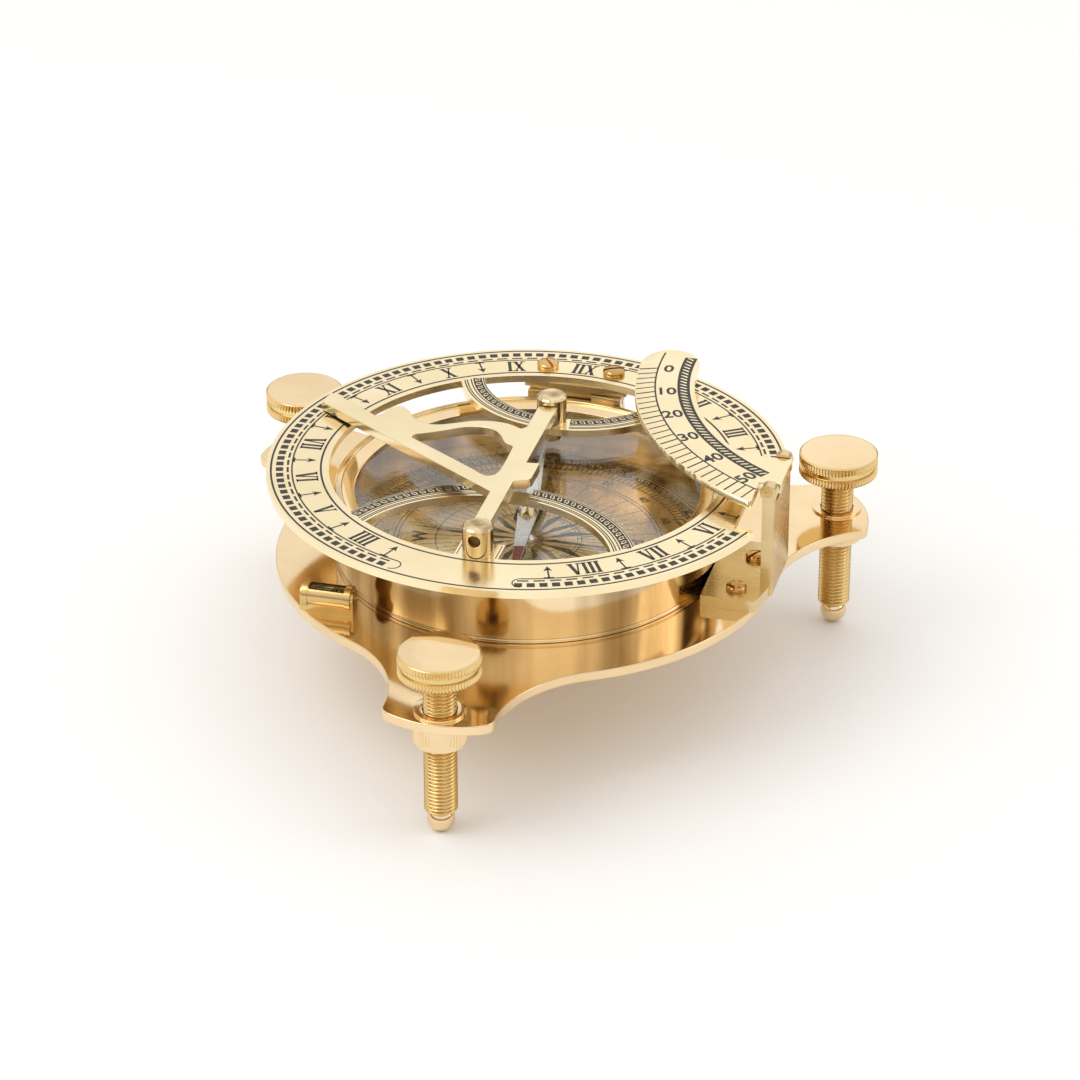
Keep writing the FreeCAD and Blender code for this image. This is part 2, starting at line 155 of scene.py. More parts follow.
# Bowl: the very dark low colour, stretched into vertical bands, is painted reflection of dark surroundings
# in the polished wall; the paler brass between is its own tone.
M_BOWL_PAINTED_REFLECTION = brass("brass_bowl_painted_reflection", (0.30, 0.20, 0.09), (0.90, 0.71, 0.44), 0.07, 0.10, grain=(1, 1, 0.04),
               tarnish_and_reflection_spread=0.13, streak_stretch=(1, 1, 0.10))
M_SATIN = brass("brass_satin", (0.88, 0.73, 0.44), (0.97, 0.83, 0.56), 0.15, 0.10, (1, 1, 1), 700, 0.10)
M_BRUSHED = brass("brass_brushed", (0.52, 0.39, 0.18), (0.88, 0.70, 0.40), 0.16, 0.18, (0.12, 1, 1), 1500,
                  0.5)
M_THREAD = brass("brass_thread", (0.60, 0.41, 0.16), (0.82, 0.60, 0.28), 0.16, 0.14)
M_KNURL = brass("brass_knurl", (0.70, 0.50, 0.20), (0.88, 0.66, 0.32), 0.12, 0.10)
M_POST = brass("brass_post", (0.36, 0.25, 0.11), (0.92, 0.73, 0.45), 0.05, 0.06,
               tarnish_and_reflection_spread=0.16, streak_stretch=(5, 5, 0.6))
M_SCREW = brass("brass_screw", (0.46, 0.27, 0.09), (0.80, 0.52, 0.22), 0.10, 0.10)
M_CARD = brass("brass_card", (0.56, 0.38, 0.17), (0.80, 0.58, 0.29), 0.22, 0.12, (1, 1, 1), 500, 0.15)
M_DARK = brass("brass_oxidised", (0.10, 0.06, 0.025), (0.22, 0.14, 0.06), 0.35, 0.2)
M_STEEL = brass("steel_needle", (0.66, 0.68, 0.71), (0.88, 0.90, 0.93), 0.18, 0.15, (1, 1, 1), 1200, 0.2)
M_BLACK = filled("black_filling", (0.006, 0.006, 0.007), (0.03, 0.026, 0.022), 0.35)
M_RED = filled("red_paint", (0.30, 0.018, 0.010), (0.50, 0.04, 0.02), 0.3)
M_GLASS = glass("clear_glass", (0.96, 0.97, 0.96), 0.02)
M_VIAL = glass("vial_glass", (0.80, 0.88, 0.62), 0.03)


# ---------------------------------------------------------------- geometry helpers
def make_mesh(name, verts, faces, mat, body, covers=(), sharp=32):
    mesh = bpy.data.meshes.new(name)
    mesh.from_pydata([(x * MM, y * MM, z * MM) for x, y, z in verts], [], faces)
    mesh.validate()
    mesh.update()
    mesh.materials.append(mat)
    obj = bpy.data.objects.new(name, mesh)
    bpy.context.scene.collection.objects.link(obj)
    smooth(obj, sharp)
    if body:
        settle(obj, body, covers)
    return obj


def smooth(obj, sharp):
    mesh = obj.data
    mesh.polygons.foreach_set("use_smooth", [True] * len(mesh.polygons))
    mesh.set_sharp_from_angle(angle=math.radians(sharp))


def settle(obj, body, covers=()):
    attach(obj, body)
    if covers:
        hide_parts(*covers)


def soften(points, radius, closed=False, steps=4):
    """Rounds each corner of a polyline; a corner may carry its own radius as a third number."""
    out = []
    n = len(points)
    for i, point in enumerate(points):
        r = point[2] if len(point) > 2 else radius
        p = Vector(point[:2])
        if (not closed and i in (0, n - 1)) or r <= 0:
            out.append(tuple(p))
            continue
        a = Vector(points[i - 1][:2]) - p
        b = Vector(points[(i + 1) % n][:2]) - p
        la, lb = a.length, b.length
        if la < 1e-6 or lb < 1e-6:
            out.append(tuple(p))
            continue
        a.normalize()
        b.normalize()
        half = math.acos(max(-1, min(1, a.dot(b)))) / 2
        if half > math.pi / 2 - 0.06:
            out.append(tuple(p))
            continue
        cut = min(r / math.tan(half), la * 0.45, lb * 0.45)
        start, end = p + a * cut, p + b * cut
        for k in range(steps + 1):
            t = k / steps
            q = start * (1 - t) ** 2 + p * 2 * t * (1 - t) + end * t ** 2
            out.append(tuple(q))
    return out


def revolve(profile, cx=0.0, cy=0.0, count=128, wave=None):
    """Turns (radius, height) points about a vertical line; wave changes the radius with angle and height."""
    verts, faces, rows = [], [], []
    for r, z in profile:
        if r < 1e-6:
            rows.append([len(verts)])
            verts.append((cx, cy, z))
            continue
        row = []
        for k in range(count):
            a = 2 * math.pi * k / count
            rr = wave(r, z, a) if wave else r
            row.append(len(verts))
            verts.append((cx + rr * math.cos(a), cy + rr * math.sin(a), z))
        rows.append(row)
    for i in range(len(rows) if profile[0][0] > 1e-6 else len(rows) - 1):
        low, up = rows[i], rows[(i + 1) % len(rows)]
        if len(low) == 1 and len(up) == 1:
            continue
        for k in range(count):
            j = (k + 1) % count
            if len(low) == 1:
                faces.append((low[0], up[j], up[k]))
            elif len(up) == 1:
                faces.append((low[k], low[j], up[0]))
            else:
                faces.append((low[k], low[j], up[j], up[k]))
    return verts, faces


def lathe(name, profile, mat, body, covers=(), cx=0.0, cy=0.0, count=128, wave=None, edge=0.12,
          sharp=32):
    points = soften(profile, edge, closed=profile[0][0] > 1e-6)
    verts, faces = revolve(points, cx, cy, count, wave)
    return make_mesh(name, verts, faces, mat, body, covers, sharp)


def circle(cx, cy, r, count=64, start=0.0):
    return [(cx + r * math.cos(start + 2 * math.pi * k / count),
             cy + r * math.sin(start + 2 * math.pi * k / count)) for k in range(count)]


def arc_points(cx, cy, r, a0, a1, count):
    return [(cx + r * math.cos(math.radians(a0 + (a1 - a0) * k / count)),
             cy + r * math.sin(math.radians(a0 + (a1 - a0) * k / count))) for k in range(count + 1)]


def prism_data(points, z0, z1):
    n = len(points)
    area = sum(points[i][0] * points[(i + 1) % n][1] - points[(i + 1) % n][0] * points[i][1]
               for i in range(n))
    if area < 0:
        points = points[::-1]
    verts = [(x, y, z0) for x, y in points] + [(x, y, z1) for x, y in points]
    faces = [tuple(range(n - 1, -1, -1)), tuple(range(n, 2 * n))]
    faces += [(i, (i + 1) % n, n + (i + 1) % n, n + i) for i in range(n)]
    return verts, faces


def prism(name, points, z0, z1, mat=None):
    verts, faces = prism_data(points, z0, z1)
    return make_mesh(name, verts, faces, mat or M_POLISH, None)


def block(x0, x1, y0, y1, z0, z1):
    return prism("block", [(x0, y0), (x1, y0), (x1, y1), (x0, y1)], z0, z1)


def disc(cx, cy, r, z0, z1, count=64):
    return prism("disc", circle(cx, cy, r, count), z0, z1)


def rod(axis, r, a0, a1, u, z, count=40):
    """Round bar along X or Y between a0 and a1."""
    obj = prism("rod", circle(0, 0, r, count), a0, a1)
    for v in obj.data.vertices:
        x, y, zz = v.co / MM
        v.co = Vector((zz, u + x, z + y) if axis == "X" else (u - x, zz, z + y)) * MM
    return obj


def shell(cx, cy, outer, inner, z0, z1, count=256):
    verts, faces = revolve([(inner, z0), (outer, z0), (outer, z1), (inner, z1)], cx, cy, count)
    return make_mesh("shell", verts, faces, M_POLISH, None)


def apply(obj):
    """Bakes the modifiers into the mesh."""
    graph = bpy.context.evaluated_depsgraph_get()
    mesh = bpy.data.meshes.new_from_object(obj.evaluated_get(graph), preserve_all_data_layers=True,
                                           depsgraph=graph)
    obj.modifiers.clear()
    obj.data = mesh
    return obj


def combine(target, tool, operation):
    mod = target.modifiers.new("combine", "BOOLEAN")
    mod.operation = operation
    mod.object = tool
    mod.solver = "EXACT"
    apply(target)
    bpy.data.objects.remove(tool)
    return target


def add(target, *tools):
    for tool in tools:
        combine(target, tool, "UNION")
    return target


def cut(target, *tools):
    for tool in tools:
        combine(target, tool, "DIFFERENCE")
    return target


def dress(obj, name, mat, body, covers=(), bevel=0.18, sharp=35, segments=2):
    """Breaks the sharp edges of a finished solid and hangs it on its body."""
    mod = obj.modifiers.new("edge", "BEVEL")
    mod.width = bevel * MM
    mod.segments = segments
    mod.limit_method = "ANGLE"
    mod.angle_limit = math.radians(sharp)
    mod.use_clamp_overlap = True
    flat = obj.modifiers.new("flat", "WEIGHTED_NORMAL")
    flat.keep_sharp = False
    flat.weight = 100
    obj.data.polygons.foreach_set("use_smooth", [True] * len(obj.data.polygons))
    apply(obj)
    obj.name = name
    obj.data.name = name
    obj.data.materials.clear()
    obj.data.materials.append(mat)
    settle(obj, body, covers)
    return obj


class Inlay:
    """Many small closed pieces of filling or relief, gathered into one mesh."""

    def __init__(self, z0, z1):
        self.z0, self.z1 = z0, z1
        self.verts, self.faces = [], []

    def poly(self, points, z0=None, z1=None, shrink=0.0):
        verts, faces = prism_data(points, self.z0 if z0 is None else z0, self.z1 if z1 is None else z1)
        if shrink:
            n = len(verts) // 2
            cx = sum(v[0] for v in verts[:n]) / n
            cy = sum(v[1] for v in verts[:n]) / n
            for i in range(n, 2 * n):
                x, y, z = verts[i]
                verts[i] = (cx + (x - cx) * (1 - shrink), cy + (y - cy) * (1 - shrink), z)
        base = len(self.verts)
        self.verts += verts
        self.faces += [tuple(base + i for i in f) for f in faces]

    def line(self, p, q, width):
        p, q = Vector(p), Vector(q)
        side = (q - p).normalized()
        side = Vector((-side.y, side.x)) * width / 2
        self.poly([tuple(p - side), tuple(q - side), tuple(q + side), tuple(p + side)])

    def path(self, points, width):
        """Stroke along a polyline with mitred joints."""
        pts = [Vector(p) for p in points]
        left, right = [], []
        for i, p in enumerate(pts):
            before = (p - pts[i - 1]).normalized() if i else (pts[1] - p).normalized()
            after = (pts[i + 1] - p).normalized() if i < len(pts) - 1 else before
            along = (before + after)
            along = along.normalized() if along.length > 1e-6 else before
            side = Vector((-along.y, along.x))
            scale = width / 2 / max(0.35, side.dot(Vector((-after.y, after.x))))
            left.append(tuple(p + side * scale))
            right.append(tuple(p - side * scale))
        for i in range(len(pts) - 1):
            self.poly([right[i], right[i + 1], left[i + 1], left[i]])

    def ring(self, cx, cy, r, width, a0=0.0, a1=360.0, step=1.5):
        count = max(2, int(abs(a1 - a0) / step))
        self.band(cx, cy, r - width / 2, r + width / 2, a0, a1, count)

    def band(self, cx, cy, r0, r1, a0, a1, count):
        """Curved strip between two radii, closed on itself when it goes all round."""
        whole = abs(abs(a1 - a0) - 360) < 1e-6
        steps = count if whole else count + 1
        base = len(self.verts)
        for k in range(steps):
            a = math.radians(a0 + (a1 - a0) * k / count)
            c, s = math.cos(a), math.sin(a)
            for r, z in ((r0, self.z0), (r1, self.z0), (r1, self.z1), (r0, self.z1)):
                self.verts.append((cx + r * c, cy + r * s, z))
        flip = a1 < a0
        for k in range(count):
            i, j = base + 4 * k, base + 4 * ((k + 1) % steps)
            for m in range(4):
                n = (m + 1) % 4
                f = (i + m, i + n, j + n, j + m)
                self.faces.append(f if flip else f[::-1])
        if not whole:
            first = tuple(base + m for m in range(4))
            last = tuple(base + 4 * count + m for m in range(4))
            self.faces.append(first[::-1] if flip else first)
            self.faces.append(last if flip else last[::-1])

    def glyph(self, origin, angle, parts, size=1.0):
        """Strokes given in letter space, placed at origin and turned by angle degrees."""
        c, s = math.cos(math.radians(angle)), math.sin(math.radians(angle))
        for points in parts:
            self.poly([(origin[0] + size * (x * c - y * s), origin[1] + size * (x * s + y * c)) for x,
                       y in points])

    def done(self, name, mat, body):
        return make_mesh(name, self.verts, self.faces, mat, body, sharp=20)


def glyph_mesh(text, size):
    """Outline figures as flat faces: points in mm round the middle of the word, and their faces."""
    curve = bpy.data.curves.new("word", "FONT")
    curve.body = text
    curve.size = size
    curve.align_x = "CENTER"
    curve.align_y = "CENTER"
    curve.resolution_u = 3
    curve.offset = 0.022 * size
    obj = bpy.data.objects.new("word", curve)
    bpy.context.scene.collection.objects.link(obj)
    graph = bpy.context.evaluated_depsgraph_get()
    mesh = bpy.data.meshes.new_from_object(obj.evaluated_get(graph))
    points = [(v.co.x, v.co.y) for v in mesh.vertices]
    faces = [tuple(p.vertices) for p in mesh.polygons]
    rim = {}
    for f in faces:
        for i in range(len(f)):
            edge = (f[i], f[(i + 1) % len(f)])
            if (edge[1], edge[0]) in rim:
                del rim[(edge[1], edge[0])]
            else:
                rim[edge] = True
    bpy.data.objects.remove(obj)
    bpy.data.meshes.remove(mesh)
    return points, faces, list(rim)


GLYPHS = {}


def word(inlay, text, size, x, y, angle):
    """Adds figures to an inlay as closed raised pieces."""
    if (text, size) not in GLYPHS:
        GLYPHS[(text, size)] = glyph_mesh(text, size)
    points, faces, rim = GLYPHS[(text, size)]
    c, s = math.cos(math.radians(angle)), math.sin(math.radians(angle))
    base, n = len(inlay.verts), len(points)
    for z in (inlay.z0, inlay.z1):
        inlay.verts += [(x + px * c - py * s, y + px * s + py * c, z) for px, py in points]
    inlay.faces += [tuple(base + n + i for i in f) for f in faces]
    inlay.faces += [tuple(base + i for i in f[::-1]) for f in faces]
    inlay.faces += [(base + a, base + b, base + n + b, base + n + a) for a, b in rim]


def stroke(x0, y0, x1, y1, w):
    """Slanted bar of letter width w measured along x."""
    return [(x0 - w / 2, y0), (x0 + w / 2, y0), (x1 + w / 2, y1), (x1 - w / 2, y1)]


def roman(text):
    """Strokes of a roman numeral 5.3 high, middle at the origin; thick and thin bars with serifs."""
    height, parts, x = 5.3, [], 0.0
    low, high = -height / 2, height / 2
    for ch in text:
        if ch == "I":
            parts.append(stroke(x + 0.6, low, x + 0.6, high, 0.82))
            parts.append(stroke(x + 0.6, low, x + 0.6, low + 0.34, 1.34))
            parts.append(stroke(x + 0.6, high - 0.34, x + 0.6, high, 1.34))
            x += 1.5
        elif ch == "V":
            parts.append(stroke(x + 1.65, low, x + 0.7, high, 0.9))
            parts.append(stroke(x + 1.75, low, x + 2.7, high, 0.42))
            parts.append(stroke(x + 0.7, high - 0.34, x + 0.7, high, 1.4))
            parts.append(stroke(x + 2.7, high - 0.34, x + 2.7, high, 1.2))
            x += 3.4
        else:
            parts.append(stroke(x + 2.6, low, x + 0.7, high, 0.9))
            parts.append(stroke(x + 0.7, low, x + 2.6, high, 0.42))
            for sx in (0.7, 2.6):
                parts.append(stroke(x + sx, low, x + sx, low + 0.34, 1.3))
                parts.append(stroke(x + sx, high - 0.34, x + sx, high, 1.3))
            x += 3.4
    shift = x / 2 - 0.05
    return [[(px - shift, py) for px, py in part] for part in parts]


def rope(line, bead, cx, cy, r0, r1, a0, a1, pitch, lean, links=False):
    """Rope border: a dark band with slanted raised beads, or with open chain links made of two halves."""
    mid = (r0 + r1) / 2
    span = math.radians(abs(a1 - a0)) * mid
    line.band(cx, cy, r0, r1, a0, a1, max(6, int(span / 1.2)))
    count = int(span / pitch)
    half_r, half_t = ((r1 - r0) * 0.37, pitch * 0.34) if links else ((r1 - r0) * 0.35, pitch * 0.18)
    for k in range(count):
        a = math.radians(a0 + (a1 - a0) * (k + 0.5) / count)
        outlines = [[(1.0, 30 * m) for m in range(12)]]
        if links:
            outlines = [[(1.0, 180 * side + 12 + 26 * m) for m in range(7)]
                        + [(0.62, 180 * side + 168 - 26 * m) for m in range(7)] for side in (0, 1)]
        for outline in outlines:
            points = []
            for size, t in outline:
                u = half_r * size * math.cos(math.radians(t))
                v = half_t * size * math.sin(math.radians(t)) + lean * u
                points.append((cx + (mid + u) * math.cos(a) - v * math.sin(a),
                               cy + (mid + u) * math.sin(a) + v * math.cos(a)))
            bead.poly(points, shrink=0.12 if links else 0.25)


def curve_through(points, closed=False, steps=6):
    """Smooth line through the points."""
    out, n = [], len(points)
    for i in range(n if closed else n - 1):
        p0 = Vector(points[(i - 1) % n] if closed else points[max(i - 1, 0)])
        p1 = Vector(points[i])
        p2 = Vector(points[(i + 1) % n])
        p3 = Vector(points[(i + 2) % n] if closed else points[min(i + 2, n - 1)])
        for k in range(steps):
            t = k / steps
            q = 0.5 * (2 * p1 + (p2 - p0) * t + (2 * p0 - 5 * p1 + 4 * p2 - p3) * t ** 2
                       + (3 * p1 - p0 - 3 * p2 + p3) * t ** 3)
            out.append(tuple(q))
    if not closed:
        out.append(tuple(points[-1]))
    return out


# ---------------------------------------------------------------- levelling screws
def smoothstep(x):
    x = max(0.0, min(1.0, x))
    return x * x * (3 - 2 * x)


def knurl(radius, grooves, depth, zones):
    def wave(r, z, a):
        if r < radius - 0.9:
            return r
        for low, high in zones:
            if low <= z <= high:
                fade = smoothstep((z - low) / 0.35) * smoothstep((high - z) / 0.35)
                return r - depth * fade * (0.5 - 0.5 * math.cos(grooves * a)) ** 0.7
        return r
    return wave


def levelling_screw(side, x, y):
    turn = rng.uniform(0, 360)
    pitch = THREAD_PITCH
    rows = [(0, 5.6), (3.4, 5.6), (3.95, 6.1)]
    z = 6.3
    while z < 41.6:
        rows.append((4.0, z))
        z += pitch / 8
    rows += [(3.5, 41.75), (3.5, 42.1), (2.5, 42.1), (2.5, 46.7), (0, 46.7)]

    def thread(r, z, a):
        if r < 3.99:
            return r
        phase = (z / pitch - (a + turn) / (2 * math.pi)) % 1.0
        groove = THREAD_DEPTH * smoothstep(1 - abs(2 * phase - 1))
        return r - groove * smoothstep((z - 6.1) / 0.6) * smoothstep((41.8 - z) / 0.8)

    lathe("screw_" + side, rows, M_THREAD, "screw_" + side, ["levelling_screw_" + side],
          x, y, 72, thread, edge=0, sharp=60)
    profile = [(0, 42.1), (8.6, 42.1), (9.35, 42.1), (9.75, 42.45), (9.75, 42.9), (9.75, 43.4),
               (9.75, 43.95),
               (9.75, 44.3), (9.35, 44.42), (9.35, 44.9), (9.35, 45.45), (9.75, 45.6), (9.75, 45.95),
               (9.75, 46.4),
               (9.75, 46.9), (9.75, 47.25), (9.75, 47.55), (9.35, 47.86), (9.1, 47.9), (6.0, 47.9),
               (0, 47.9)]
    wave = knurl(9.75, 74, 0.36, [(42.3, 44.32), (45.58, 47.62)])
    lathe("knob_" + side, profile, M_KNURL, "screw_" + side, ["screw_knob_" + side],
          x, y, 592, wave, edge=0, sharp=40)
    ball = [(0, 0)]
    for k in range(1, 24):
        a = math.radians(-90 + 132 * k / 23)
        ball.append((3.3 * math.cos(a), 3.3 + 3.3 * math.sin(a)))
    ball = [p for p in ball if p[1] < 5.5] + [(2.38, 5.55), (1.2, 5.55), (1.2, 9.5), (0, 9.6)]
    lathe("foot_" + side, ball, M_POLISH, "foot_" + side, ["foot_ball_" + side],
          x, y, 72, edge=0)


def knob_tops():
    """Knob tops are polished flat: give the top faces the bright finish."""
    for side in EARS:
        mesh = bpy.data.objects["knob_" + side].data
        mesh.materials.append(M_POLISH)
        for p in mesh.polygons:
            if p.center.z > 47.8 * MM:
                p.material_index = 1


for side, degrees in EARS.items():
    fx = 80 * math.cos(math.radians(degrees))
    fy = 80 * math.sin(math.radians(degrees))
    levelling_screw(side, fx, fy)
    lathe("bush_ring_" + side, [
        (4.1, 24.0), (5.95, 24.0), (6.25, 24.3), (6.25, 24.9), (6.25, 26), (6.25, 27.5), (6.25, 28.9),
                                (6.25, 29.7),
        (5.0, 29.7), (5.0, 32.2), (6.15, 32.2), (6.15, 32.75), (4.1, 32.75)],
        M_POLISH, "base", ["bush_" + side], fx, fy, 288,
        knurl(6.25, 48, 0.22, [(24.5, 29.4)]), edge=0.1)
knob_tops()


# ---------------------------------------------------------------- base plate
def plate_outline():
    points = []
    neck_x = math.sqrt(91.8 ** 2 - 43.4 ** 2)
    lean = math.degrees(math.atan2(43.4, neck_x))
    for degrees in (-90, 30, 150):
        side = arc_points(neck_x, -43.4, 30, 180 - lean, 90, 16)
        corner_x = 60.9 + math.sqrt(26 ** 2 - 13.4 ** 2)
        start, ctrl = Vector((corner_x - 2.0, -13.4)), Vector((corner_x, -13.4))
        end = Vector(arc_points(60.9, 0, 26, -26.6, 0, 1)[0])
        corner = [tuple(start * (1 - t) ** 2 + ctrl * 2 * t * (1 - t) + end * t * t)
                  for t in (0, .2, .4, .6, .8, 1)]
        half = side[:-1] + [(neck_x, -13.4)] + corner
        tip = arc_points(60.9, 0, 26, -26.6, 26.6, 20)[1:-1]
        local = half + tip + [(x, -y) for x, y in reversed(half)]
        c, s = math.cos(math.radians(degrees)), math.sin(math.radians(degrees))
        points += [(x * c - y * s, x * s + y * c) for x, y in local]
        points += arc_points(0, 0, 61.8, degrees + lean, degrees + 120 - lean, 40)[1:-1]
    clean = [points[0]]
    for p in points[1:]:
        if math.dist(p, clean[-1]) > 0.02:
            clean.append(p)
    return clean


plate = prism("plate", plate_outline(), 29.7, 32.2)
for degrees in EARS.values():
    cut(plate, disc(80 * math.cos(math.radians(degrees)), 80 * math.sin(math.radians(degrees)), 5.0, 20,
                    40))
dress(plate, "plate", M_POLISH, "base", ["base_plate"], 0.3)


def countersunk(name, places, low, head, shank, depth, top, slot_width, covers):
    """Flush screws seen from below, each with its slot."""
    group = Inlay(0, 0)
    for i, (x, y) in enumerate(places):
        verts, faces = revolve(soften([(0, low), (head, low), (shank, low + depth), (shank, top), (0, top)],
                                      0.05), 0, 0, 40)
        obj = make_mesh("tool", verts, faces, M_POLISH, None)
        bar = block(-head - 1, head + 1, -slot_width / 2, slot_width / 2, low - 1, low + 0.5)
        cut(obj, bar)
        a = math.radians(rng.uniform(0, 180))
        base = len(group.verts)
        for v in obj.data.vertices:
            vx, vy, vz = v.co / MM
            group.verts.append((x + vx * math.cos(a) - vy * math.sin(a),
                                y + vx * math.sin(a) + vy * math.cos(a), vz))
        group.faces += [tuple(base + k for k in p.vertices) for p in obj.data.polygons]
        bpy.data.objects.remove(obj)
    make_mesh(name, group.verts, group.faces, M_KNURL, "base", covers, 30)


BOWL_SCREWS = [(38 * math.cos(math.radians(a)), 38 * math.sin(math.radians(a))) for a in (-90, 30, 150)]
countersunk("bowl_fixings", BOWL_SCREWS, 29.68, 2.4, 1.25, 1.2, 33.2, 0.6, ["bowl_screws"])
countersunk("level_fixings", [(-41, -41), (-36, -41), (-41, 34.5), (-41, 39.5)], 29.68, 1.9, 1.0, 0.9, 33.0,
            0.5,
            ["level_screws"])

# ---------------------------------------------------------------- compass
lathe("bowl", [(0, 32.2), (46.6, 32.2), (47.0, 32.3), (47.0, 32.9), (46.85, 33.1), (46.85, 33.3),
               (47.0, 33.5),
               (47.0, 50.2), (46.7, 50.5), (45.4, 50.5), (45.2, 50.3), (45.2, 47.5), (43.8, 47.5),
               (43.8, 33.4),
               (30, 33.4), (0, 33.4)],
      M_BOWL_PAINTED_REFLECTION, "base", ["compass_bowl"], count=256, edge=0.12)
lathe("bezel", [(42.1, 49.0), (45.2, 49.0), (45.2, 50.2), (42.4, 49.4), (42.1, 49.2)], M_POLISH, "base",
      ["glass_bezel"], count=256, edge=0.08)
lathe("window_glass", [(0, 47.5), (40, 47.5), (45.1, 47.5), (45.1, 49.0), (40, 49.0), (0, 49.0)], M_GLASS,
      "base",
      ["cover_glass"], count=192, edge=0.1)
lathe("card", [(2.2, 33.4), (43.5, 33.4), (43.5, 33.9), (2.2, 33.9)], M_CARD, "base",
      ["compass_card"], count=256, edge=0.08)
lathe("pivot", [(0, 33.4), (2.1, 33.4), (2.1, 34.6), (0.9, 35.4), (0.5, 39), (0.4, 41.3), (0, 41.7)],
      M_STEEL, "base",
      ["needle_pivot"], count=48, edge=0.1)

ink = Inlay(33.86, 33.925)
bead = Inlay(33.86, 33.99)
rope(ink, bead, 0, 0, 40.9, 43.1, 0, 360, 2.1, 0.35, True)
for r, w in ((40.5, 0.3), (37.9, 0.22), (32.9, 0.25), (31.9, 0.25), (22.6, 0.22), (13.2, 0.3), (12.3, 0.2)):
    ink.ring(0, 0, r, w)
for k in range(180):
    a = math.radians(2 * k)
    inner = 37.9 if k % 5 else 37.0
    ink.line((inner * math.cos(a), inner * math.sin(a)), (40.5 * math.cos(a), 40.5 * math.sin(a)), 0.26)
for k in range(18):
    a = 90 - 20 * k
    word(ink, str(20 * k), 2.9, 35.2 * math.cos(math.radians(a)), 35.2 * math.sin(math.radians(a)), a - 90)
for k in range(64):
    a = math.radians(360 * k / 64 + 2.8)
    outer = 31.9 if k % 2 else 26.5
    ink.line((13.2 * math.cos(a), 13.2 * math.sin(a)), (outer * math.cos(a), outer * math.sin(a)), 0.16)
for k in range(16):
    a = math.radians(22.5 * k)
    tip = 29.5 if k % 4 == 0 else 24.5 if k % 2 == 0 else 18.0
    waist = 7.0 if k % 4 == 0 else 8.5 if k % 2 == 0 else 11.0
    side = a + math.pi / 16
    p0 = (waist * 0.35 * math.cos(a), waist * 0.35 * math.sin(a))
    p1 = (waist * math.cos(side), waist * math.sin(side))
    p2 = (tip * math.cos(a), tip * math.sin(a))
    ink.poly([p0, p1, p2])
    other = a - math.pi / 16
    ink.path([p2, (waist * math.cos(other), waist * math.sin(other))], 0.18)
for k, letter in enumerate("NESW"):
    a = 90 - 90 * k
    word(ink, letter, 5.2, 26.4 * math.cos(math.radians(a + 11)), 26.4 * math.sin(math.radians(a + 11)),
         a + 11 - 90)
ink.done("card_lines", M_BLACK, "base")
bead.done("card_rope", M_CARD, "base")

aim = math.radians(97.7)


def needle_point(along, across):
    return (along * math.cos(aim) - across * math.sin(aim), along * math.sin(aim) + across * math.cos(aim))


blade = prism("blade", [needle_point(40, 0), needle_point(0, 2.5), needle_point(-40, 0),
                        needle_point(0, -2.5)], 40.8, 41.2)
cut(blade, disc(0, 0, 1.4, 30, 50, 40))
dress(blade, "blade", M_STEEL, "needle", ["compass_needle"], 0.1)
paint = Inlay(41.15, 41.225)
paint.poly([needle_point(-17, 1.3), needle_point(-39.2, 0.04), needle_point(-39.2, -0.04),
            needle_point(-17, -1.3)])
paint.done("needle_paint", M_RED, "needle")
lathe("cap", [(0.8, 40.0), (1.4, 40.0), (1.4, 41.2), (2.3, 41.2), (2.3, 41.6), (1.7, 42.5), (0.6, 43.1),
              (0, 43.2),
              (0, 41.9), (0.5, 41.9), (0.8, 41.6)], M_POLISH, "needle", ["needle_cap"],
      count=64, edge=0.06)

# ---------------------------------------------------------------- hour ring
ring = shell(0, 0, 63.5, 48.3, RING_BOTTOM, RING_TOP, 288)
upper = combine(shell(0.8, 50, 30.3, 24.3, RING_BOTTOM, RING_TOP, 160), disc(0, 0, 49.0, 50, 60, 200),
                "INTERSECT")
lower = combine(shell(0, -50, 38.2, 32.3, RING_BOTTOM, RING_TOP, 180), disc(0, 0, 49.1, 50, 60, 200),
                "INTERSECT")
add(ring, upper, lower)
add(ring, block(-5.3, 5.3, -49, -41, RING_BOTTOM, RING_TOP), disc(0, 23.6, 3.9, RING_BOTTOM, RING_TOP, 48))
cut(ring, block(55.3, 70, -19.5, 12, 50, 60), block(-1.8, 4.8, -20, -8, RING_BOTTOM + 0.45, 60))
dress(ring, "ring", M_SATIN, "hour_ring", ["hour_ring"], 0.14, 30)

ink = Inlay(RING_TOP - 0.03, RING_TOP + 0.025)
bead = Inlay(RING_TOP - 0.03, RING_TOP + 0.09)
notch_low, notch_high = -19.9, 12.4


def on_ring(a):
    """False where the ring is cut away beside the arc bracket."""
    x, y = 60 * math.cos(math.radians(a)), 60 * math.sin(math.radians(a))
    return not (x > 0 and notch_low < y < notch_high)


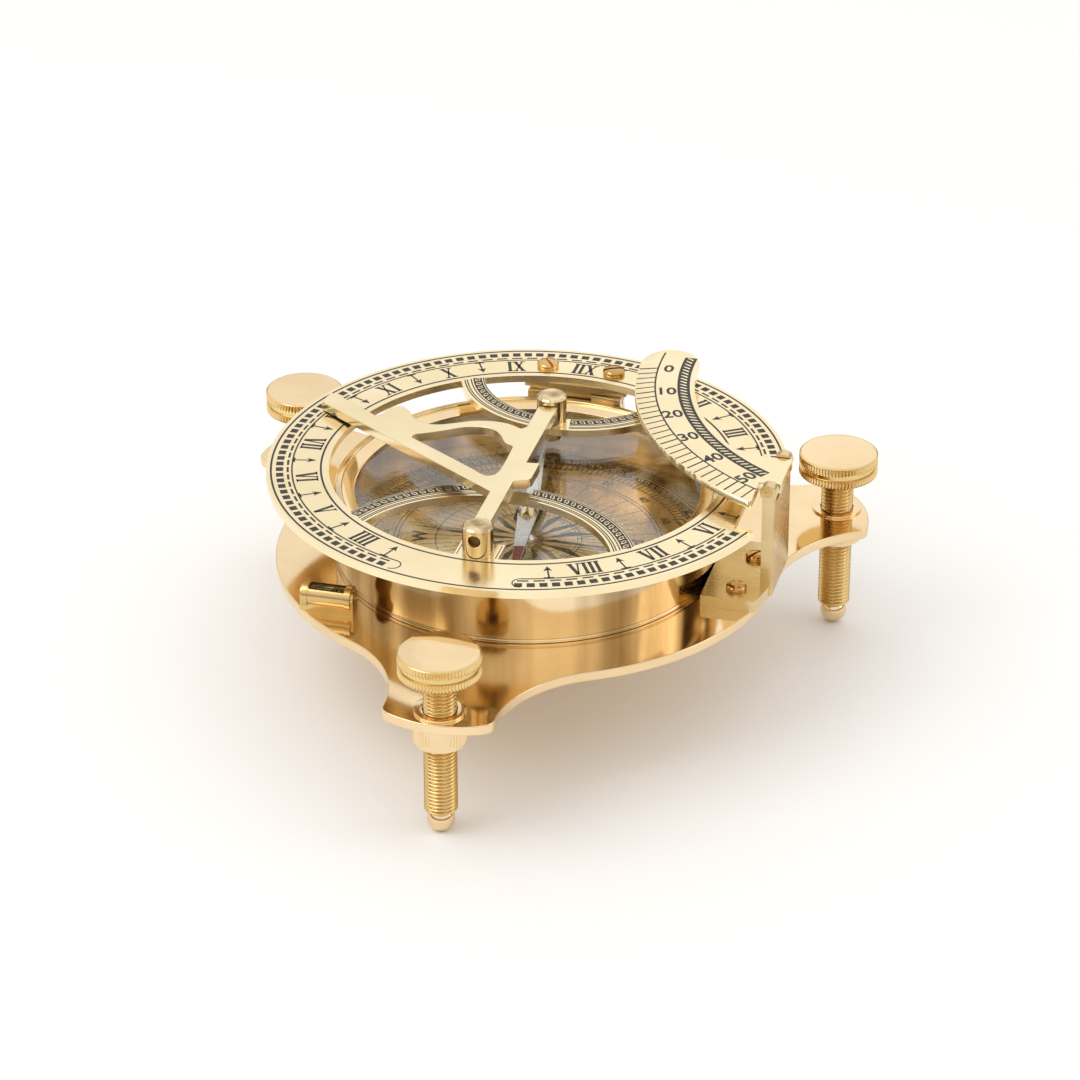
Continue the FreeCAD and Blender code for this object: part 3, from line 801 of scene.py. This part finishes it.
for r, w in ((62.3, 0.5), (57.2, 0.4)):
    hi = math.degrees(math.asin(notch_high / r)) + 0.4
    lo = 360 + math.degrees(math.asin(notch_low / r)) - 0.4
    if r > 60:
        ink.ring(0, 0, r, w, hi, lo)
    else:
        ink.ring(0, 0, r, w, hi, 252.5)
        ink.ring(0, 0, r, w, 283.0, lo)
ink.ring(0, 0, 50.2, 0.5)
a = -77.5
while a < 252.3:
    if on_ring(a) and on_ring(a - 1.6) and on_ring(a + 1.6):
        c, s = math.cos(math.radians(a)), math.sin(math.radians(a))
        ink.poly([(60.2 * c + u * c - v * s, 60.2 * s + u * s + v * c)
                  for u, v in ((-0.9, -0.95), (0.9, -0.95), (0.9, 0.95), (-0.9, 0.95))])
    a += 2.8
a = -76.5
while a < 252.0:
    if on_ring(a) and on_ring(a - 2.5) and on_ring(a + 2.5):
        ink.band(0, 0, 57.95, 58.5, a - 1.3, a + 1.3, 3)
    a += 3.75
for edge, turn in ((252.5, 1), (283.0, -1)):
    hook = []
    for k in range(9):
        t = math.pi * k / 8
        rr = 59.2 + 2.0 * math.cos(t)
        hook.append((rr, edge + turn * 1.9 * math.sin(t)))
    ink.path([(rr * math.cos(math.radians(d)), rr * math.sin(math.radians(d))) for rr, d in hook], 0.3)
hours = ["IIII", "V", "VI", "VII", "VIII", "IX", "X", "XI", "XII", "I", "II", "III", "IIII", "V", "VI",
         "VII", "VIII"]
for i, text in enumerate(hours):
    a = TOP_HOUR + HOUR_STEP * (8 - i)
    c, s = math.cos(math.radians(a)), math.sin(math.radians(a))
    ink.glyph((53.7 * c, 53.7 * s), a + 90, roman(text), 1.0)
    for mark in ((a - HOUR_STEP / 2, a + HOUR_STEP / 2) if i == 0 else (a - HOUR_STEP / 2,)):
        c, s = math.cos(math.radians(mark)), math.sin(math.radians(mark))

        def p(u, v):
            return u * c - v * s, u * s + v * c

        ink.line(p(57.2, 0), p(52.8, 0), 0.42)
        ink.line(p(56.8, -1.2), p(56.8, 1.2), 0.36)
        ink.poly([p(51.4, 0), p(53.7, -1.05), p(53.1, 0), p(53.7, 1.05)])


def arm_span(cy, r, cx=0.0, limit=48.6):
    """Angles about the arm's centre where a circle of radius r stays inside the ring."""
    inside = [k for k in range(0, 3600)
              if math.hypot(cx + r * math.cos(math.radians(k / 10)),
                            cy + r * math.sin(math.radians(k / 10))) < limit]
    return inside[0] / 10, inside[-1] / 10


def broken(a0, a1, gaps):
    """The span from a0 to a1 without the gaps."""
    spans, start = [], a0
    for g0, g1 in gaps:
        spans.append((start, g0))
        start = g1
    spans.append((start, a1))
    return spans


for cx, cy, rope_r, lines, gap in ((0.8, 50.0, (25.0, 27.2), (24.6, 27.7, 28.7, 29.3), (258.5, 278.2)),
                                   (0.0, -50.0, (35.1, 37.5), (37.9, 34.6, 33.7, 33.1), (82.0, 93.5))):
    a0, a1 = arm_span(cy, sum(rope_r) / 2, cx)
    for s0, s1 in broken(a0, a1, [gap]):
        rope(ink, bead, cx, cy, rope_r[0], rope_r[1], s0, s1, 2.0, 0.35, True)
    for r in lines:
        a0, a1 = arm_span(cy, r, cx)
        for s0, s1 in broken(a0, a1, [gap]):
            ink.ring(cx, cy, r, 0.3, s0, s1)
for x in (-4.7, 4.7):
    ink.line((x, -47.8), (x, -41.5), 0.22)
ink.done("ring_engraving", M_BLACK, "hour_ring")
bead.done("ring_rope", M_SATIN, "hour_ring")


def slotted(name, places, head_z, head_h, head_r, shank_r, shank_z, body, covers):
    """Cheese-head screws with turned edges and a milled slot."""
    group = Inlay(0, 0)
    top = head_z + head_h
    for x, y, angle in places:
        rows = soften([(0, shank_z), (shank_r, shank_z), (shank_r, head_z), (head_r, head_z),
                       (head_r, top - 0.55),
                       (head_r * 0.86, top - 0.22), (head_r * 0.5, top - 0.04), (0, top)], 0.12)
        verts, faces = revolve(rows, 0, 0, 64)
        obj = make_mesh("tool", verts, faces, M_POLISH, None)
        cut(obj, block(-head_r - 1, head_r + 1, -0.36, 0.36, top - 0.95, top + 1))
        a = math.radians(angle)
        base = len(group.verts)
        for v in obj.data.vertices:
            vx, vy, vz = v.co / MM
            group.verts.append((x + vx * math.cos(a) - vy * math.sin(a),
                                y + vx * math.sin(a) + vy * math.cos(a), vz))
        group.faces += [tuple(base + k for k in p.vertices) for p in obj.data.polygons]
        bpy.data.objects.remove(obj)
    make_mesh(name, group.verts, group.faces, M_SCREW, body, covers, 30)


slotted("ring_screws", [(-8.6, 53.4, 128), (8.6, 53.4, 25)], RING_TOP, 1.5, 2.75, 1.2, 52.2, "hour_ring",
        ["ring_hinge_screws"])
slotted("bracket_screws", [(54.9, -12.2, 100), (56.2, 3.9, 60)], 35.2, 1.4, 2.45, 1.5, 29.7, "base",
        ["arc_bracket_screws"])
slotted("hinge_foot_screws", [(-9, 56.8, 20), (9, 56.8, 110)], 34.2, 1.6, 2.2, 1.2, 29.7, "base",
        ["ring_hinge_bracket_screws"])

# ---------------------------------------------------------------- ring hinge
HINGE_Y, HINGE_Z = 49.3, 50.2
leaf = block(-13.2, 13.2, 47.7, 58.0, 52.2, 53.7)
add(leaf, rod("X", 1.6, -4.0, 4.0, HINGE_Y, HINGE_Z),
    block(-4.0, 4.0, HINGE_Y - 1.6, HINGE_Y + 1.6, HINGE_Z, 52.9))
cut(leaf, rod("X", 0.95, -14, 14, HINGE_Y, HINGE_Z))
dress(leaf, "hinge_leaf", M_BRUSHED, "hour_ring", ["ring_hinge_leaf"], 0.12)
bracket = combine(block(-13, 13, 46, 61, 32.2, 34.2), disc(0, 0, 61.7, 30, 60, 256), "INTERSECT")
add(bracket, block(-12.0, 12.0, 46, HINGE_Y + 1.6, 32.2, HINGE_Z),
    rod("X", 1.6, -12.0, 12.0, HINGE_Y, HINGE_Z),
    block(-12.0, 12.0, 46, HINGE_Y, HINGE_Z - 3, HINGE_Z + 1.6))
cut(bracket, block(-4.2, 4.2, 44, 60, HINGE_Z - 2.0, 60), disc(0, 0, 47.1, 30, 60, 256),
    rod("X", 0.9, -13, 13, HINGE_Y, HINGE_Z))
dress(bracket, "hinge_bracket", M_BRUSHED, "base", ["ring_hinge_bracket"], 0.15)
pin = rod("X", 0.9, -12.2, 12.2, HINGE_Y, HINGE_Z, 32)
dress(pin, "hinge_pin", M_STEEL, "base", ["ring_hinge_pin"], 0.15)

# ---------------------------------------------------------------- gnomon posts and frame
for name, py in (("north", 23.6), ("south", -45.9)):
    verts, faces = revolve(soften([(0, 51.0), (2.2, 51.0), (2.45, 51.3), (2.45, 53.7), (1.8, 53.7),
                                   (1.8, 55.5),
                                   (3.75, 55.5), (3.75, 62.5), (3.25, 63.0), (0, 63.0)], 0.12), 0, py, 72)
    post = make_mesh("post", verts, faces, M_POLISH, None)
    cut(post, rod("Y", 1.5, py - 5, py + 5, 0, AXLE_Z, 40))
    dress(post, "post_" + name, M_POST, "hour_ring", ["gnomon_post_" + name], 0.1, 40)

pins = Inlay(0, 0)
for py, side in ((23.6, -1), (-45.9, 1)):
    outer, inner = py - side * 2.35, py + side * 3.75
    tip = inner + side * 2.4
    rows = [(0, 0), (1.35, 0), (1.5, 0.15), (1.5, abs(inner - outer)), (0.8, abs(inner - outer)),
            (0.8, abs(tip - outer) - 0.2), (0.6, abs(tip - outer)), (0, abs(tip - outer))]
    verts, faces = revolve(rows, 0, 0, 40)
    base = len(pins.verts)
    for x, y, z in verts:
        pins.verts.append((-side * x, outer + side * z, AXLE_Z + y))
    pins.faces += [tuple(base + i for i in f) for f in faces]
make_mesh("pivot_pins", pins.verts, pins.faces, M_DARK, "hour_ring",
          ["gnomon_pivot_pins"], 30)

north, south = 23.6 - 3.85, -45.9 + 3.85
scroll = curve_through([(-2.4, 8.5), (-3.5, 7.4), (-5.0, 8.3), (-8.0, 9.8), (-12.0, 10.4), (-16.0, 10.0),
                        (-19.0, 8.8),
                        (-22.0, 7.5), (-25.0, 6.7), (-28.5, 7.2), (-31.8, 10.2), (-33.5, 13.0),
                        (-36.0, 15.3),
                        (-38.2, 14.7), (-39.3, 13.0), (-39.9, 10.8), (-41.2, 9.6), (-43.0, 11.0)])
outline = [(-2.4, south), (1.8, south), (1.8, -20.0), (5.0, -19.0), (5.7, -18.0), (5.7, -10.2),
           (2.4, -10.2),
           (2.4, north), (-2.4, north)] + scroll + [(-51.7, 17.7), (-56.0, 20.5), (-57.0, 15.3),
                                                    (-2.4, -26.0)]
frame_plate = prism("gnomon", outline, AXLE_Z - 1.2, AXLE_Z + 1.2)
hole = curve_through([(-28.9, -0.6), (-28.5, 1.0), (-26.0, 2.0), (-22.0, 4.0), (-18.0, 6.2), (-14.0, 6.9),
                      (-11.0, 6.4),
                      (-9.0, 5.0), (-7.5, 3.0), (-5.6, -0.4), (-3.4, -2.0), (-3.0, -4.0), (-3.0, -15.5),
                      (-4.8, -18.2),
                      (-7.0, -17.4), (-10.0, -15.0), (-20.0, -7.5), (-27.6, -1.9)], True)
cut(frame_plate, prism("hole", hole, 55, 65))
for y in (north, south):
    cut(frame_plate, rod("Y", 0.85, y - 2.6, y + 2.6, 0, AXLE_Z, 32))
turn = Matrix.Translation((0, 0,
                           AXLE_Z * MM)) @ Matrix.Rotation(-TILT, 4,
                                                           "Y") @ Matrix.Translation((0, 0, -AXLE_Z * MM))
frame_plate.data.transform(turn)
dress(frame_plate, "gnomon_plate", M_SATIN, "gnomon", ["gnomon_frame"], 0.25, 38)

# ---------------------------------------------------------------- latitude arc
arc = shell(ARC_X, ARC_Y, 77.0, 62.2, 58.7, 61.1, 480)
wedge = [(ARC_X, ARC_Y)] + arc_points(ARC_X, ARC_Y, 110, -178.2, -110.0, 6)
combine(arc, prism("wedge", wedge, 50, 70), "INTERSECT")
tip = arc_points(ARC_X, ARC_Y, 69.6, -178.2, 0, 1)[0]
add(arc, disc(tip[0], tip[1], 7.4, 58.7, 61.1, 96))
keep = add(block(0, 58.4, -40, 80, 50, 70), block(40, 63.75, -5.4, 7.9, 50, 70))
combine(arc, keep, "INTERSECT")
add(arc, block(50, 63.75, -5.4, 7.9, 58.7, 61.1))
verts, faces = revolve([(72.2, 61.1), (79.2, 60.15), (79.2, 63.0), (72.2, 63.0)], ARC_X, ARC_Y, 480)
bevel = make_mesh("bevel", verts, faces, M_POLISH, None)
cut(bevel, block(58, 70, -6, 9, 50, 70))
cut(arc, bevel)
cut(arc, rod("Y", 0.96, -10, 12, 61.35, 59.9, 32))
dress(arc, "arc_plate", M_SATIN, "latitude_arc", ["latitude_arc"], 0.15, 30)

ink = Inlay(61.07, 61.125)
bead = Inlay(61.07, 61.19)
ink.ring(ARC_X, ARC_Y, 72.0, 0.42, -182.5, -118.6)
rope(ink, bead, ARC_X, ARC_Y, 63.4, 66.5, -181.5, -121.5, 1.6, -0.55)
for k in range(7):
    a = -175.3 + 10.4 * k
    if k < 6:
        word(ink, str(10 * k), 5.2, ARC_X + 69.3 * math.cos(math.radians(a)),
             ARC_Y + 69.3 * math.sin(math.radians(a)),
             a + 180)
ink.done("arc_engraving", M_BLACK, "latitude_arc")
bead.done("arc_rope", M_SATIN, "latitude_arc")
ticks = Inlay(0, 0)
slope = 0.95 / 7.0
for k in range(28):
    a = math.radians(-175.3 + 2.08 * k)
    c, s = math.cos(a), math.sin(a)
    width = 0.36 if k % 5 else 0.44
    base = len(ticks.verts)
    for dz in (-0.03, 0.03):
        for r, v in ((72.1, -width / 2), (76.75, -width / 2), (76.75, width / 2), (72.1, width / 2)):
            ticks.verts.append((ARC_X + r * c - v * s, ARC_Y + r * s + v * c,
                                61.1 - (r - 72.2) * slope + dz))
    for f in ((3, 2, 1, 0), (4, 5, 6, 7), (0, 1, 5, 4), (1, 2, 6, 5), (2, 3, 7, 6), (3, 0, 4, 7)):
        ticks.faces.append(tuple(base + i for i in f))
ticks.done("arc_ticks", M_BLACK, "latitude_arc")

# ---------------------------------------------------------------- arc bracket
stand = combine(block(47.2, 62.8, -17.5, 12, 32.2, 35.2), disc(0, 0, 62.9, 30, 60, 256), "INTERSECT")
cut(stand, disc(0, 0, 47.1, 30, 60, 256))
add(stand, block(59.9, 62.8, -8.5, 11, 32.2, 59.9), rod("Y", 2.1, -8.5, 11, 61.35, 59.9, 48))
cut(stand, block(50, 70, -5.7, 8.2, 56.6, 70), rod("Y", 0.9, -10, 12, 61.35, 59.9, 32))
dress(stand, "arc_stand", M_BRUSHED, "base", ["arc_bracket"], 0.25)
pin = rod("Y", 0.9, -8.55, 11.05, 61.35, 59.9, 32)
dress(pin, "arc_pin", M_THREAD, "base", ["arc_hinge_pin"], 0.15)

# ---------------------------------------------------------------- spirit levels
LEVEL_Z = 35.9


def level(name, x, y, angle, holder_node, vial_node):
    body = rod("X", 2.85, -6.0, 6.0, 0, LEVEL_Z, 48)
    for x0, x1 in ((-6.0, -4.6), (4.6, 6.0)):
        add(body, rod("X", 3.1, x0, x1, 0, LEVEL_Z, 48))
    add(body, rod("X", 2.2, -6.6, 6.6, 0, LEVEL_Z, 48))
    add(body, block(-6.6, 6.6, -2.1, 2.1, 32.2, LEVEL_Z))
    cut(body, rod("X", 2.3, -5.4, 5.4, 0, LEVEL_Z, 48), block(-4.4, 4.4, -1.9, 1.9, LEVEL_Z, LEVEL_Z + 6))
    place = Matrix.Translation((x * MM, y * MM, 0)) @ Matrix.Rotation(math.radians(angle), 4, "Z")
    body.data.transform(place)
    dress(body, name + "_holder", M_THREAD, "base", [holder_node], 0.2)
    rows = soften([(0, -5.2), (2.2, -5.2, 1.5), (2.2, 5.2, 1.5), (0, 5.2)], 0.1, steps=8)
    for part, verts_faces, mat in (
            ("vial", revolve(rows, 0, 0, 48), M_VIAL),
            ("bubble", revolve([(0, -1.4), (0.5, -1.2), (0.62, -0.8), (0.62, 0.8), (0.5, 1.2), (0, 1.4)], 0,
                               0, 24),
             M_GLASS),
            ("marks", revolve([(2.22, -1.7), (2.26, -1.7), (2.26, -1.5), (2.22, -1.5)], 0, 0, 48), M_BLACK),
            ("marks2", revolve([(2.22, 1.5), (2.26, 1.5), (2.26, 1.7), (2.22, 1.7)], 0, 0, 48), M_BLACK)):
        verts, faces = verts_faces
        drop = 1.4 if part == "bubble" else 0.0
        verts = [(vz, vx, LEVEL_Z + vy + drop) for vx, vy, vz in verts]
        obj = make_mesh(name + "_" + part, verts, faces, mat, None)
        obj.data.transform(place)
        settle(obj, "base", [vial_node] if part == "vial" else [])


level("level_south", -38.5, -41.0, 0, "level_holder_south", "level_vial_south")
level("level_west", -41.0, 37.0, 90, "level_holder_west", "level_vial_west")

# ---------------------------------------------------------------- studio
floor_mat, nodes, links, bsdf = new_material("studio_floor")
speck = nodes.new("ShaderNodeTexNoise")
speck.inputs["Scale"].default_value = 3
shade = nodes.new("ShaderNodeMapRange")
shade.inputs["To Min"].default_value = 0.55
shade.inputs["To Max"].default_value = 0.65
links.new(speck.outputs["Fac"], shade.inputs["Value"])
links.new(shade.outputs["Result"], bsdf.inputs["Roughness"])
bsdf.inputs["Base Color"].default_value = (0.93, 0.92, 0.91, 1)
corners = [(x * FLOOR_HALF, y * FLOOR_HALF, 0) for x, y in ((-1, -1), (1, -1), (1, 1), (-1, 1))]
floor = make_mesh("studio_floor", corners, [(0, 1, 2, 3)], floor_mat, None)


def lamp(name, place, target, size, power, color=(1, 1, 1)):
    light = bpy.data.lights.new(name, "AREA")
    light.shape = "RECTANGLE"
    light.size, light.size_y = size
    light.energy = power
    light.color = color
    obj = bpy.data.objects.new(name, light)
    obj.location = place
    obj.rotation_euler = (Vector(target) - Vector(place)).to_track_quat("-Z", "Y").to_euler()
    bpy.context.scene.collection.objects.link(obj)


lamp("key", (-0.5, -0.35, 0.75), LIT_POINT, (0.6, 0.6), 2.2)
lamp("back", (0.15, 0.85, 0.6), LIT_POINT, (0.9, 0.5), 0.15)
lamp("side", (0.8, 0.1, 0.4), LIT_POINT, (0.4, 0.5), 0.5)

world = bpy.data.worlds.new("studio")
bpy.context.scene.world = world
world.use_nodes = True
tree = world.node_tree
sky = tree.nodes["Background"]
coord = tree.nodes.new("ShaderNodeTexCoord")
split = tree.nodes.new("ShaderNodeSeparateXYZ")
tree.links.new(coord.outputs["Generated"], split.inputs["Vector"])
# Dark just above the horizon, so that polished metal has something dark to reflect; pale higher up.
fade = tree.nodes.new("ShaderNodeValToRGB")
ramp = fade.color_ramp
ramp.elements[0].position = 0.0
ramp.elements[0].color = (0.80, 0.78, 0.75, 1)
ramp.elements[1].position = 1.0
ramp.elements[1].color = (1.0, 1.0, 1.0, 1)
for place, tone in ((0.50, (0.26, 0.21, 0.16, 1)), (0.57, (0.36, 0.30, 0.24, 1)),
                    (0.66, (0.97, 0.95, 0.92, 1))):
    ramp.elements.new(place).color = tone
lift = tree.nodes.new("ShaderNodeMapRange")
lift.inputs["From Min"].default_value = -1.0
tree.links.new(split.outputs["Z"], lift.inputs["Value"])
tree.links.new(lift.outputs["Result"], fade.inputs["Fac"])
tree.links.new(fade.outputs["Color"], sky.inputs["Color"])
sky.inputs["Strength"].default_value = 1.04
bpy.context.scene.view_settings.view_transform = "Standard"

cam = bpy.data.cameras.new("camera")
cam.lens = STUDIO_LENS
cam.sensor_width = 36
cam_obj = bpy.data.objects.new("camera", cam)
place, look = Vector(CAMERA_PLACE), Vector(CAMERA_TARGET)
cam_obj.location = place
cam_obj.rotation_euler = (look - place).to_track_quat("-Z", "Y").to_euler()
bpy.context.scene.collection.objects.link(cam_obj)
bpy.context.scene.camera = cam_obj
